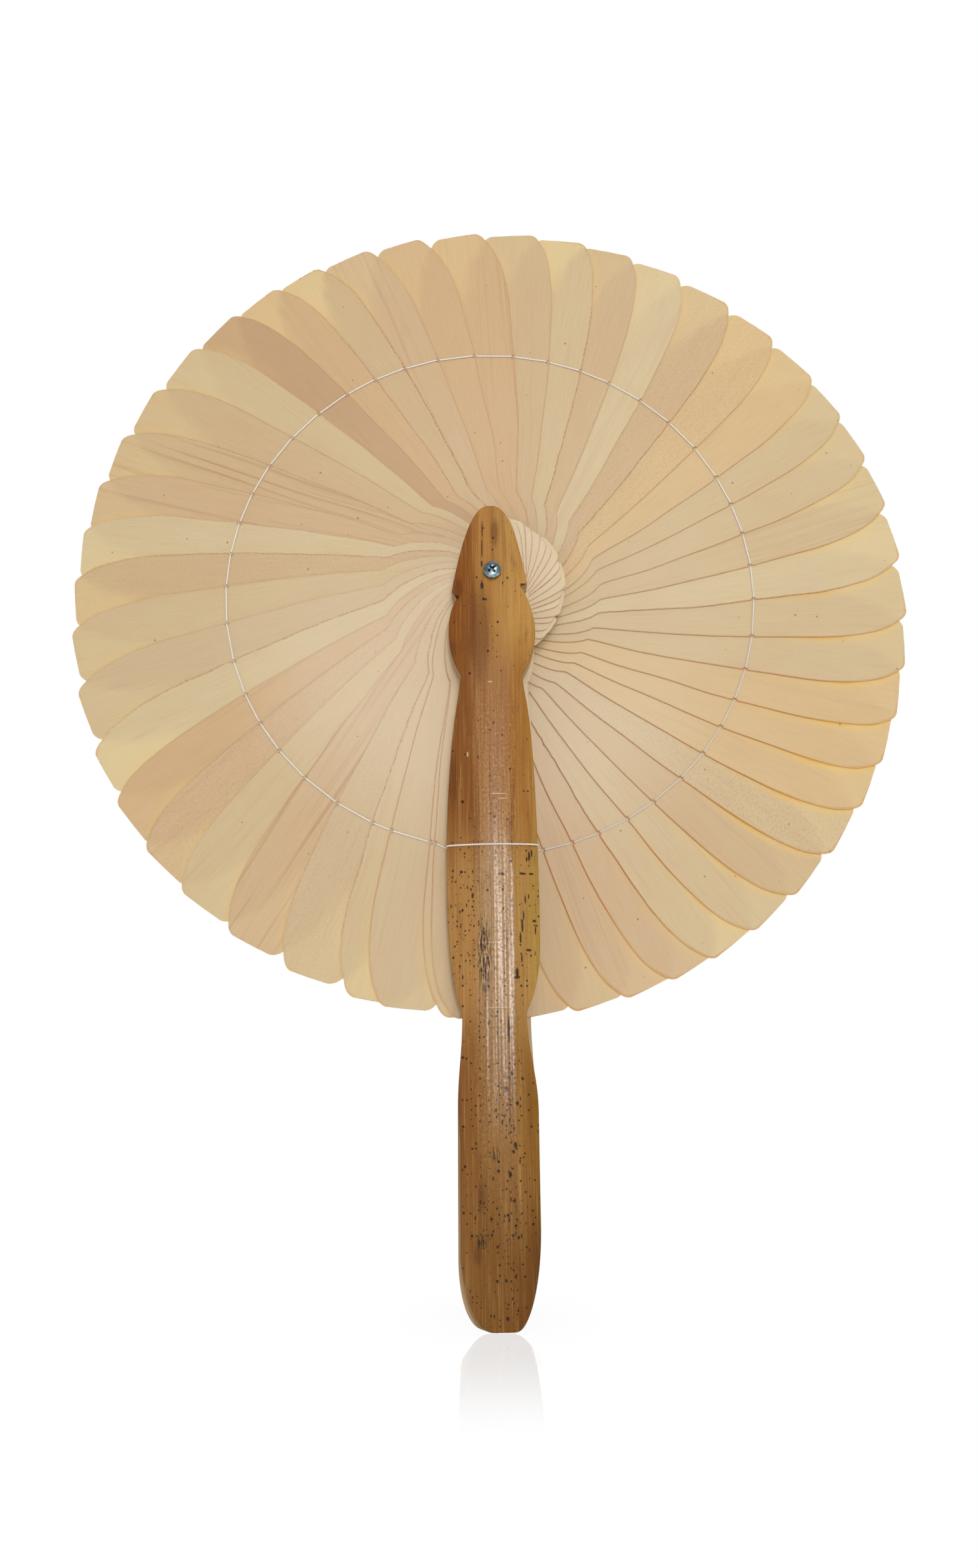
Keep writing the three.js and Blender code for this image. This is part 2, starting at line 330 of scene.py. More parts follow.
leafSet = {
    "hole": 1.65, "overhang": 1.8, "tailReach": 1.2, "tailCrown": 0.35, "slant": 0.09, "slantFrom": 95.0,
    "corner": (10.6, 130.4), "cornerPulls": ((9.6, 132.1), (8.6, 134.4)), "end": (6.4, 134.8),
    "tip": (0.0, 134.9), "tipLean": 0.55, "tipPull": (12.7, 127.7), "reachShift": (0.3, -1.0),
    "counts": (14, 8, 9, 40), "tipCounts": (18, 7, 5), "tailCount": 4,
    "wobble": 0.14, "waves": 3, "waveRuns": (18, 60), "fuzz": 0.03, "tear": 0.11, "edgeRun": 4.0,
    "neckWiden": 1.3, "neckPlay": 0.45, "widthPlay": 0.35, "tailPlay": 0.9, "tipPlay": 0.4,
    "nickSteps": (-0.75, -0.15, 0.15, 0.9), "nickCuts": (0.05, 0.75, 0.75, -0.1), "nickClear": 0.2,
    "insets": (0.0, 0.12, 0.5, 1.4, 3.2), "shares": (0.0, 0.02, 0.06, 0.12, 0.2), "inside": (0.25, 0.5, 0.75),
    "liftReach": 6.0, "liftFrom": 2.0, "liftRun": 20.0, "liftMiddle": 39, "liftSpread": 4.5,
    "liftLeast": 0.03, "leastPlay": (0.3, 1.6), "liftMost": 0.16, "mostPlay": (0.4, 1),
    # per leaf, how strong the painted shadow line along the cut edge is
    "edgeShadeFrom": (2, 3, 28, 37, 41, 46), "edgeShadeShares": (0.6, 0.12, 0.22, 0.95, 0.95, 1.8),
    # the turn over which a downward-hanging leaf gets its painted sheen
    "flat": 0.5, "farEdge": 9.0, "sheenTurn": (0.1, 0.65), "frontPlay": 0.005, "grainShift": 211.0,
    "figures": (0.25, 0.2, 0.5), "seed": 41,
}
# one letter a leaf, clockwise from the handle: cream, straw, sand, tan, peach, orange, golden, brown
leafTones = "ssswspwpocswtcpttwbotpootwtctggwwwcwwgggwtwwpptp"
leafKinds = {
    "c": (219, 197, 155), "w": (215, 190, 147), "s": (213, 187, 147), "t": (212, 182, 139),
    "p": (213, 181, 140), "o": (214, 178, 133), "g": (221, 189, 139), "b": (200, 162, 122),
}
# how streaky, flecked and ragged some leaves are; the rest take a small random share
leafStreaks = {6: 1.0, 9: 0.4, 15: 0.6, 16: 0.9, 19: 0.5, 22: 0.4, 24: 0.8, 34: 0.35, 46: 0.4}
leafFlecks = {8: 0.6, 13: 0.4, 29: 0.6, 30: 0.6, 41: 0.7, 5: 0.4}
leafRagged = {4: 1.2, 10: 1.3, 13: 1.0, 20: 1.0, 21: 1.8, 24: 0.8, 26: 1.4, 29: 1.0, 35: 0.8, 44: 1.2}


def leafSide(draw, further):
    # half of one leaf, from the middle of its tail to the middle of its tip, which reaches a little further
    s = leafSet
    cut = {**fish,
           "snoutRise": fish["snoutRise"] + s["tailReach"] + s["tailPlay"] * draw.uniform(-1, 1),
           "neckHalf": fish["neckHalf"] + s["neckWiden"] + s["neckPlay"] * draw.uniform(-1, 1),
           "neckDrop": fish["neckDrop"] + s["neckPlay"] * draw.uniform(-1, 1)}
    body = fishSide(cut, s["counts"])
    body[:, 0] += s["overhang"] * np.sqrt(np.maximum(body[:, 1], 0) / fish["bellyDrop"])
    belly = body[-1]
    shift = np.array([s["tipPlay"] * draw.uniform(-1, 1), further])
    corner, end = s["corner"] + shift, s["end"] + shift
    bends = [pull + shift for pull in s["cornerPulls"]]
    pull = (belly[0], belly[1] + s["tipLean"] * (corner[1] - belly[1]))
    return np.concatenate([
        np.linspace((0.0, body[0, 1] - s["tailCrown"]), body[0], s["tailCount"])[:-1],
        body,
        curve(belly, pull, s["tipPull"] + shift, corner, s["tipCounts"][0])[1:],
        curve(corner, *bends, end, s["tipCounts"][1])[1:],
        np.linspace(end, s["tip"] + shift * (0, 1), s["tipCounts"][2])[1:]])


def handCut(side, draw, torn):
    # half-widths with the slow wander and the fuzz of a hand-cut edge
    s = leafSet
    travel = 2 * np.pi * travelled(side)
    waves = sum(draw.uniform(-1, 1) * np.sin(travel / draw.uniform(*s["waveRuns"]) + draw.uniform(0, 6.3))
                for _ in range(s["waves"]))
    fuzz = (s["fuzz"] + s["tear"] * torn) * draw.uniform(-1, 1, len(side))
    widen = 1 + s["widthPlay"] * draw.uniform(-1, 1) / fish["bellyHalf"]
    return side[:, 0] * widen + (s["wobble"] * waves + fuzz) * ramp(side[:, 0], 0, s["edgeRun"])


def cutNick(drops, clockwise, other):
    # a barbed nick in the clockwise edge, where the thread's ring crosses it
    s = leafSet
    first = np.flatnonzero((drops > fish["neckDrop"]) & (np.hypot(drops, clockwise) > threadRing))[0]
    half = clockwise[first]
    drop = math.sqrt(threadRing ** 2 - half ** 2)
    steps = drop + np.array(s["nickSteps"])
    keep = (drops < steps[0] - s["nickClear"]) | (drops > steps[-1] + s["nickClear"])
    rows = np.concatenate([drops[keep], steps])
    order = np.argsort(rows)
    nicked = np.concatenate([clockwise[keep], half - np.array(s["nickCuts"])])[order]
    middle = np.array([half - s["nickCuts"][1] / 2, drop])
    return rows[order], nicked, np.interp(rows[order], drops, other), middle


def turned(flat, depth, angle):
    # a hanging leaf's points, turned clockwise about the pivot and set at a depth along Y
    across, drop = flat[..., 0], flat[..., 1]
    sin, cos = sinCos(angle)
    return np.stack([pivot[0] + across * cos - drop * sin, np.broadcast_to(depth, across.shape),
                     pivot[2] - across * sin - drop * cos], axis=-1)


def hanging(points, angle):
    # the same turn undone: distance across the leaf and drop below the pivot
    sin, cos = sinCos(angle)
    x, z = points[:, 0] - pivot[0], points[:, 2] - pivot[2]
    return x * cos - z * sin, -x * sin - z * cos


def makeLeaf(number, draw, holeTool, before):
    # each row goes across the front and back across the rear; the free clockwise edge stands off a little
    s = leafSet
    far = s["farEdge"]
    angle = openAngles[number]
    sin, cos = sinCos(angle)
    side = leafSide(draw, -s["reachShift"][0] * sin - s["reachShift"][1] * cos)
    torn = leafRagged.get(number + 1, 0.0)
    drops, left, right, nick = cutNick(side[:, 1], handCut(side, draw, torn), handCut(side, draw, 0.0))
    inset = np.minimum(s["insets"], np.array(s["shares"]) * (left + right)[:, None])
    leftX = inset - left[:, None]
    rightX = (right[:, None] - inset)[:, ::-1]
    middle = leftX[:, -1:] + np.array(s["inside"]) * (rightX[:, :1] - leftX[:, -1:])
    across = np.concatenate([leftX, middle, rightX], axis=1)
    late = ramp(drops[:, None], s["slantFrom"], drops[-1] - s["slantFrom"])
    flat = np.stack([across, drops[:, None] - s["slant"] * late * across], axis=-1)
    bulge = math.exp(-((number - s["liftMiddle"]) / s["liftSpread"]) ** 2)
    least, most = draw.uniform(*s["leastPlay"]), draw.uniform(*s["mostPlay"])
    amount = s["liftLeast"] * least + s["liftMost"] * most * bulge
    near = np.clip(1 - (across + left[:, None]) / s["liftReach"], 0, 1) ** 2
    along = ramp(flat[..., 1], threadRing + s["liftFrom"], s["liftRun"])
    lift = amount * near * along ** 2 * (3 - 2 * along)
    front = turned(flat, leafFronts[number] - lift, angle)
    back = turned(flat, leafBacks[number] - lift, angle)[:, ::-1]
    leaf = makePiece("fan_" + leafNames[number], np.concatenate([front, back], axis=1))
    carve(leaf, holeTool)

    # what the finish reads: distances from the edges, the nick, the leaf in front and the leaf behind
    points = pointsOf(leaf)
    x, drop = hanging(points, angle)
    fromLeft, fromRight = x + np.interp(drop, drops, left), np.interp(drop, drops, right) - x
    fromEnd = np.minimum(drop - drops[0], drops[-1] - drop)
    edge = np.clip(np.minimum(np.minimum(fromLeft, fromRight), fromEnd), 0, far)
    cutEdge = np.clip(np.where(drop > 0, fromLeft, fromRight), 0, far)
    nickAway = np.minimum(np.hypot(x + nick[0], drop - nick[1]), far)
    # distance beyond the edge of the leaf in front, where amber glow and shadow are painted
    covered = np.full(len(x), far)
    if before:
        coverX, coverDrop = hanging(points, before["angle"])
        below = -coverX - np.interp(coverDrop, before["drops"], before["left"])
        above = coverX - np.interp(coverDrop, before["drops"], before["right"])
        covered = np.where(coverDrop > 0, below, above)
    # distance beyond the leaf behind, where light as through a single leaf is painted
    behindX, behindDrop = hanging(points, openAngles[min(number + 1, len(openAngles) - 1)])
    alone = behindX - np.interp(behindDrop, drops, right)
    rear = points[:, 1] > leafFronts[number] + s["frontPlay"]
    covered[rear], alone[rear], cutEdge[rear] = far, -1.0, far
    kinds = zip((leafStreaks, leafFlecks, leafRagged), s["figures"])
    markPiece(leaf, {
        # its third number says how far the leaf hangs downward, for a painted sheen
        "grainAndSheen": (x, drop + s["grainShift"] * number, np.interp(cos, s["sheenTurn"], (0, 1))),
        "wear": (edge, nickAway, drop),
        "cover": (np.clip(covered, -1, far), bulge, np.clip(alone, -1, far)),
        # distance from the cut edge, and the share of its painted shadow line
        "line": (cutEdge, np.interp(number, s["edgeShadeFrom"], s["edgeShadeShares"]), 0.0),
        "tone": [share + 0 * x for share in paint(*leafKinds[leafTones[number]])[:3]],
        "figure": [kind.get(number + 1, draw.uniform(0, most)) + 0 * x for kind, most in kinds]})
    return leaf, {"angle": angle, "drops": drops, "left": left, "right": right, "nick": nick}


# noises: repeats across and along, offset, detail, roughness; zones: where each begins and is full
leafLook = {
    "fine": (2.4, 0.07, 0.0, 3.0, 0.6), "cloud": (0.09, 0.03, 0.0, 2.0, 0.5),
    "sand": (3.2, 2.6, 0.0, 1.0, 0.5), "broken": (1.1, 0.9, 0.0, 2.0, 0.7),
    "bend": (0.03, 0.012, 0.0, 1.0, 0.5), "bendReach": 6.0, "ring": (0.55, 0.006, 0.0, 2.0, 0.65),
    "fleck": (0.8, 2.1, 0.0, 1.0, 0.5), "fleckSkew": 0.4375,
    "beyond": (-0.1, 0.05), "late": (96.0, 124.0), "glow": (80.0, 108.0), "tail": (6.0, -2.0),
    "inner": (92.0, 56.0), "tip": (98.0, 126.0), "line": (0.46, 0.14), "gaps": (0.36, 0.6),
    "specks": (0.13, 0.13, 0.06, 0.0, 0.03), "speckRare": 0.84, "speckShare": 0.7, "speckTone": (122, 76, 42),
    "cloudFrom": 0.35, "cloudShare": 0.32, "cloudTone": (204, 158, 110),
    "tipEdgeShade": (210, 140, 22), "outerEdgeShade": (196, 108, 4), "innerEdgeShade": (168, 108, 50),
    "through": (226, 232, 204), "throughShare": 0.17,
}
# each tone's low and high, strength and colour
leafLayers = {
    "streak": (0.52, 0.7, 0.5, (180, 124, 82)), "darkGrain": (0.5, 0.72, 0.2, (190, 146, 98)),
    "paleGrain": (0.5, 0.25, 0.1, (244, 226, 190)), "fleck": (0.5, 0.66, 0.4, (184, 126, 84)),
    "sand": (0.55, 0.75, 0.2, (184, 144, 102)), "innerSheen": (98.0, 55.0, 1.0, (236, 216, 186)),
    "headPale": (24.0, 4.0, 0.35, (238, 222, 188)), "alone": (-1.8, 1.4, 1.0, (246, 220, 154)),
    "tipGlow": (4.0, 0.2, 0.2, (240, 198, 112)), "softGlow": (3.4, 0.2, 0.5, (242, 200, 100)),
    "edgeGlow": (1.3, 0.1, 0.7, (238, 172, 52)), "rim": (0.5, 0.05, 1.0, (172, 108, 50)),
    "nick": (1.3, 0.4, 0.6, (146, 90, 44)),
}


def leafFinish():
    look = leafLook
    material, f = newMaterial("leaf_veneer")
    across, along, pale = f.parts(f.mark("grainAndSheen"))
    edge, nick, drop = f.parts(f.mark("wear"))
    streaky, flecked, chance = f.parts(f.mark("figure"))
    covered, standOff, alone = f.parts(f.mark("cover"))
    cutEdge, edgeShadeShare, _ = f.parts(f.mark("line"))
    fine, cloud, sand, bend, broken = (f.pattern(across, along, look[name])
                                       for name in ("fine", "cloud", "sand", "bend", "broken"))
    ring = f.pattern(across + bend * look["bendReach"], along, look["ring"])
    fleck = f.pattern(across + along * look["fleckSkew"], along, look["fleck"])
    late, glow, tail, inner, tip = (f.step(drop, *look[name])
                                    for name in ("late", "glow", "tail", "inner", "tip"))
    cloudy = (cloud - look["cloudFrom"]) * look["cloudShare"]
    colour = f.layers(f.mix(cloudy, f.mark("tone"), paint(*look["cloudTone"])), leafLayers, (
        ("streak", ring, streaky), ("darkGrain", fine, 1.0), ("paleGrain", fine, 1.0),
        ("fleck", fleck, flecked), ("sand", sand, 1.0),
        # painted sheen: inner parts of downward-hanging leaves paler, where the front lamp's reflection falls
        ("innerSheen", drop, pale * 0.36 + 0.04), ("headPale", drop, 1.0)))
    # painted light: pale where one leaf hangs alone, and a painted amber glow and shadow by the edge in front,
    # broadest where it stands off
    beyond = f.step(covered, *look["beyond"])
    late, glow = late * beyond, glow * beyond * standOff
    colour = f.layers(colour, leafLayers, (
        ("alone", alone, late * (0.04 + chance * 0.18)), ("tipGlow", covered, late),
        ("softGlow", covered, glow), ("edgeGlow", covered, glow)))
    # painted shade on the cut edge: a shadow line tinted as if lit through the leaf, brown inwards, orange further
    # out, and fading to amber at the tip
    strength = edgeShadeShare.atLeast(tail * 0.7) * 0.76 + standOff * 0.16
    line = f.step(cutEdge, *look["line"]) * strength * (1.0 - tip * 0.62 - inner * 0.16)
    outer = f.mix(tip, paint(*look["outerEdgeShade"]), paint(*look["tipEdgeShade"]))
    colour = f.mix(line, colour, f.mix(inner, outer, paint(*look["innerEdgeShade"])))
    # a broken brown rim all round, painted shade in the nick where the thread goes through, and a few specks
    rim = f.step(broken, *look["gaps"]) * (0.12 + chance * 0.5) * (1.0 - tip * 0.7)
    colour = f.layers(colour, leafLayers, (("rim", edge, rim), ("nick", nick, 1.0)))
    speck = f.specks(across, along, look["specks"], look["speckRare"])
    colour = f.mix(speck * look["speckShare"], colour, paint(*look["speckTone"]))
    skin = f.add("ShaderNodeBsdfPrincipled", None, {
        "Base Color": colour, "Roughness": 0.42 + sand * 0.16, "Specular IOR Level": 0.5,
        "Normal": f.bump(fine * 0.6 + sand * 0.4, 0.25, 0.06)})
    through = f.add("ShaderNodeBsdfTranslucent", None, {"Color": paint(*look["through"])})
    f.output(f.add("ShaderNodeMixShader", None, {0: look["throughShare"], 1: skin, 2: through}))
    return material


# Handle halves: stations down the outline, each with a closed section of the split culm
handleSet = {
    "snoutRise": 22.2, "snoutHalf": 0.9, "snoutRound": 5.6, "snoutCrown": 1.4, "jawFlare": 1.9,
    "bellyDrop": 92.0, "waistDrop": 135.0, "waistHalf": 9.6, "gripDrop": 162.0, "gripHalf": 11.4,
    "roundDrop": 198.0, "buttHalf": 2.6,
    "bellyLean": 0.75, "waistLean": 0.1, "gripLean": 0.4, "buttLean": 0.6,
    "wall": 9.5, "culmRadius": 38.0, "bevel": 0.45, "innerBevel": 0.25, "endRound": 0.5, "leastHalf": 0.02,
    "chamfer": 0.7, "chamferFrom": 150.0, "chamferRun": 20.0, "steep": 1.3,
    "cornerChamfer": 1.2, "cornerFrom": 200.0, "cornerRun": 15.0,
    "ripple": 0.04, "rippleRun": 3.0, "shave": 0.3, "shaveFrom": 5.4, "shaveRun": 5.0,
    "facets": (-20.0, -10.5, -4.9, -1.5, 4.8, 9.4, 20.0),
    "facetFrom": 30.0, "facetRun": 25.0, "facetShare": 0.75,
    "counts": (30, 16, 18, 64), "tailCounts": (34, 34, 24, 30),
    "skinCols": 61, "bevelCols": 6, "wallCols": 5, "flatCols": 9,
    "bore": 1.65, "boreCols": 48, "boreSpare": 3.0, "groove": 0.95, "grooveReach": 40.0,
}
# how each side of a half differs: the front one is cut by hand and isn't even
halves = {
    "front": {
        "side": -1,
        "left": {"snoutHalf": 1.8, "jawDrop": 5.6, "jawHalf": 12.7, "gillDrop": 8.4, "gillHalf": 11.0,
                 "cheekHalf": 13.7, "neckHalf": 10.0, "bellyHalf": 14.4, "shoulderLean": 0.68,
                 "bellyLean": 0.9, "waistLean": 0.05, "waistHalf": 10.0,
                 "roundDrop": 200.0, "buttHalf": 4.0, "buttLean": 0.62},
        "right": {"jawDrop": 3.3, "jawHalf": 10.9, "gillDrop": 4.5, "gillHalf": 8.7, "neckHalf": 8.9,
                  "bellyDrop": 112.0, "bellyHalf": 12.8, "shoulderLean": 0.93, "waistHalf": 8.5,
                  "roundDrop": 192.0, "buttHalf": 4.0, "buttLean": 0.54}},
    "rear": {"side": 1, "left": {}, "right": {"waistHalf": 10.4}},
}


def handleSide(changes):
    # rows of half-width and drop from the snout to the butt
    h = {**fish, **handleSet, **changes}
    belly, waist, grip = stops(h, "belly", "waist", "grip")
    turn, butt = (h["gripHalf"], h["roundDrop"]), (h["buttHalf"], pivot[2])
    waistRun, gripRun, buttRun = waist[1] - belly[1], grip[1] - waist[1], butt[1] - turn[1]
    return np.concatenate([
        fishSide(h, h["counts"]),
        curve(belly, (belly[0], belly[1] + h["bellyLean"] * waistRun),
              (waist[0], waist[1] - h["waistLean"] * waistRun), waist, h["tailCounts"][0])[1:],
        curve(waist, (waist[0], waist[1] + h["gripLean"] * gripRun),
              (grip[0], grip[1] - h["gripLean"] * gripRun), grip, h["tailCounts"][1])[1:],
        np.linspace(grip, turn, h["tailCounts"][2])[1:],
        curve(turn, (turn[0], turn[1] + h["buttLean"] * buttRun),
              (butt[0] + h["buttLean"] * (turn[0] - butt[0]), butt[1]), butt, h["tailCounts"][3])[1:]])


def skinHeight(across):
    # distance from the flat side to the culm's round skin
    h = handleSet
    return h["wall"] - h["culmRadius"] + np.sqrt(h["culmRadius"] ** 2 - across ** 2)


def handleSection(left, right, drop, inset):
    # one closed section a row: skin, right bevel, right wall, flat side, left wall, left bevel
    h = handleSet
    right, left = (np.maximum(half - inset, h["leastHalf"])[:, None] for half in (right, left))
    drop, inset = drop[:, None], inset[:, None]
    late = ramp(drop, h["chamferFrom"], h["chamferRun"])
    last = ramp(drop, h["cornerFrom"], h["cornerRun"])
    rightBevel = np.minimum(h["bevel"], right / 2)
    leftBevel = np.minimum(h["bevel"] + h["chamfer"] * late + h["cornerChamfer"] * last, left / 2)
    share = np.linspace(0, 1, h["skinCols"])
    skinX = -(left - leftBevel) + share * (right - rightBevel + left - leftBevel)
    ripple = h["ripple"] * (np.sin(skinX * 2.1 + 0.02 * drop) + 0.6 * np.sin(skinX * 4.3 - 0.035 * drop + 1))
    ripple = ripple * ramp(right - np.abs(skinX), 0, h["rippleRun"])
    shaved = h["shave"] * ramp(skinX, h["shaveFrom"], h["shaveRun"])
    facets = np.array(h["facets"])
    planed = np.interp(skinX, facets, skinHeight(facets)) - skinHeight(skinX)
    planed = h["facetShare"] * planed * ramp(drop, h["facetFrom"], h["facetRun"])
    skinY = skinHeight(skinX) + planed + ripple - shaved - inset
    bend = np.linspace(0, np.pi / 2, h["bevelCols"])[1:]
    rightX = right - rightBevel + rightBevel * np.sin(bend)
    rightY = skinY[:, -1:] - rightBevel * (1 - np.cos(bend))
    straight = np.linspace(0, 1, h["bevelCols"])[1:]
    leftX = -(left - leftBevel) - leftBevel * (late * straight + (1 - late) * np.sin(bend))
    leftY = skinY[:, :1] - leftBevel * h["steep"] * (late * straight + (1 - late) * (1 - np.cos(bend)))
    b = h["innerBevel"]
    fall = np.linspace(0, 1, h["wallCols"])[1:-1]
    rightWallY = rightY[:, -1:] + fall * (b + inset - rightY[:, -1:])
    leftWallY = (leftY[:, -1:] + fall * (b + inset - leftY[:, -1:]))[:, ::-1]
    narrower = 1 - b / h["gripHalf"]
    flatX = np.linspace(1, 0, h["flatCols"]) * (right + left) * narrower - left * narrower
    columnsX = [skinX, rightX, right + 0 * rightWallY, right + 0 * drop, flatX, -left + 0 * drop,
                -left + 0 * leftWallY, leftX[:, ::-1]]
    columnsY = [skinY, rightY, rightWallY, b + inset, inset + 0 * flatX, b + inset,
                leftWallY, leftY[:, ::-1]]
    return np.concatenate(columnsX, axis=1), np.concatenate(columnsY, axis=1)


def makeDrill(name, radius, near, far, cols):
    # a round bar along the pivot's axis, to cut a hole with
    return makePiece(name, revolve([(0, near), (radius, near), (radius, far), (0, far)], cols))


def makeHandle(name, half):
    # stations of both outlines, with rounded ends that close on a point
    h, side = handleSet, half["side"]
    rightSide, leftSide = handleSide(half["right"]), handleSide(half["left"])
    drops = np.unique(np.concatenate([rightSide[:, 1], leftSide[:, 1]]).round(3))
    soft = h["endRound"]
    bend = soft * (1 - np.cos(np.linspace(0, np.pi / 2, 4)[:-1]))
    drops = drops[(drops > drops[0] + soft) & (drops < drops[-1] - soft)]
    topEnd, buttEnd = -h["snoutRise"], pivot[2]
    drops = np.concatenate([topEnd + bend, drops, (buttEnd - bend)[::-1]])
    fromEnd = np.minimum(drops - topEnd, buttEnd - drops)
    inset = soft - np.sqrt(np.maximum(soft ** 2 - (soft - np.minimum(fromEnd, soft)) ** 2, 0))
    right = np.interp(drops, rightSide[:, 1], rightSide[:, 0])
    left = np.interp(drops, leftSide[:, 1], leftSide[:, 0])
    x, y = handleSection(left, right, drops, inset)
    heights = np.broadcast_to(pivot[2] - drops[:, None], x.shape)
    handle = makePiece(name, capped(np.stack([pivot[0] + x, side * (innerFace + y), heights], axis=-1)))
    # the screw's hole and the thread's groove in the flat side
    near, far = side * (innerFace - h["boreSpare"]), side * (crownFace + h["boreSpare"])
    corner = np.array([(-1, -1), (1, -1), (1, 1), (-1, 1)]) * h["groove"]
    deep, high = side * innerFace + corner[:, 0], threadHeight + corner[:, 1] / 2
    bar = [np.stack([np.full(4, end * h["grooveReach"]), deep, high], axis=-1) for end in (-1, 1)]
    tools = [makeDrill("bore_tool", h["bore"], near, far, h["boreCols"]),
             makePiece("groove_tool", capped(np.stack(bar)))]
    carve(handle, *tools)
    putAway(*tools)
    return handle


# Bamboo: tones from left to right in each stretch of the stick, as they look under a plain light, then noises
# by repeats across and down, offset, detail and roughness, and zones by where each begins and is full
bambooLook = {
    "head": ((130, 74, 22), (162, 112, 50), (174, 128, 62), (176, 130, 64)),
    "upper": ((128, 76, 28), (152, 104, 58), (152, 100, 40), (154, 106, 42)),
    "lower": ((166, 120, 64), (164, 126, 82), (164, 122, 62), (164, 126, 58)),
    "grip": ((132, 84, 36), (142, 100, 50), (136, 92, 34), (134, 90, 24)),
    "butt": ((128, 85, 35), (122, 80, 28), (110, 68, 16), (98, 60, 12)),
    "headCuts": ((-8.0, -3.0), (-0.5, 5.0), (7.0, 10.0)), "cuts": ((-7.0, -4.0), (4.5, 5.2), (8.8, 10.2)),
    "starts": {"upper": (14.0, 36.0), "lower": (72.0, 96.0), "grip": (126.0, 152.0), "butt": (168.0, 204.0)},
    "wander": (0.12, 0.02, 0.0, 2.0, 0.5), "fine": (2.6, 0.035, 0.0, 3.0, 0.65),
    "broad": (0.4, 0.02, 0.0, 2.0, 0.6), "cloud": (0.22, 0.07, 0.0, 3.0, 0.6),
    "leather": (1.5, 1.1, 0.0, 3.0, 0.65), "pepper": (4.2, 3.4, 0.0, 2.0, 0.6),
    "crinkle": (2.0, 0.3, 4.0, 3.0, 0.7), "ragged": (2.0, 1.1, 9.0, 2.0, 0.5),
    "skin": (-0.6, -0.45), "shaved": (-1.0, 1.0), "middle": (8.0, 4.0), "middleFrom": (30.0, 52.0),
    "sheenZone": (186.0, 150.0), "peppered": (70.0, 130.0), "crowd": (1.4, 0.5), "low": (70.0, 92.0),
    "strand": (0.18, 0.05), "strandFrom": (46.0, 64.0), "strandTo": (150.0, 134.0),
    "rotten": (1.25, 0.5), "dent": (1.3, 0.8), "worn": (0.62, 0.4), "narrow": (96.0, 78.0),
    "glossLeft": (-5.5, -1.4), "glossRight": (5.2, 4.6), "glossFrom": (38.0, 84.0), "glossTo": (176.0, 146.0),
    "lines": (-4.9, -1.5, 4.8), "crowding": 0.42,
    "specks": (((0.42, 0.36, 0.18, 0.06, 0.1), 0.95, 0.15), ((0.8, 0.7, 0.26, 0.06, 0.14), 0.95, 0.15),
               ((0.62, 0.2, 0.16, 0.04, 0.08), 0.96, 0.05)),
    "lineTone": (74, 40, 16), "speckTone": (34, 19, 10), "markTone": (34, 20, 12),
    "wallTone": (194, 166, 126),
}
# each tone's low and high, strength and colour
bambooLayers = {
    "darkStreak": (0.5, 0.72, 0.35, (98, 54, 18)), "paleStreak": (0.46, 0.28, 0.25, (190, 146, 88)),
    "cloud": (0.55, 0.8, 0.45, (92, 52, 20)), "darkFibre": (0.52, 0.75, 0.4, (92, 52, 20)),
    "paleFibre": (0.48, 0.26, 0.3, (206, 166, 110)), "darkLeather": (0.52, 0.72, 1.0, (84, 48, 22)),
    "paleMottleSheen": (0.46, 0.3, 0.3, (214, 180, 136)), "pepper": (0.54, 0.72, 0.4, (74, 44, 18)),
    "rot": (0.47, 0.55, 0.92, (40, 28, 18)), "rotGlint": (0.44, 0.36, 0.5, (214, 196, 164)),
    "stain": (1.3, 0.3, 0.5, (82, 38, 10)), "scratch": (1.3, 0.6, 0.6, (214, 186, 150)),
    "wallFibre": (0.42, 0.68, 1.0, (152, 116, 76)), "wallRim": (2.6, 0.8, 0.5, (132, 92, 52)),
}
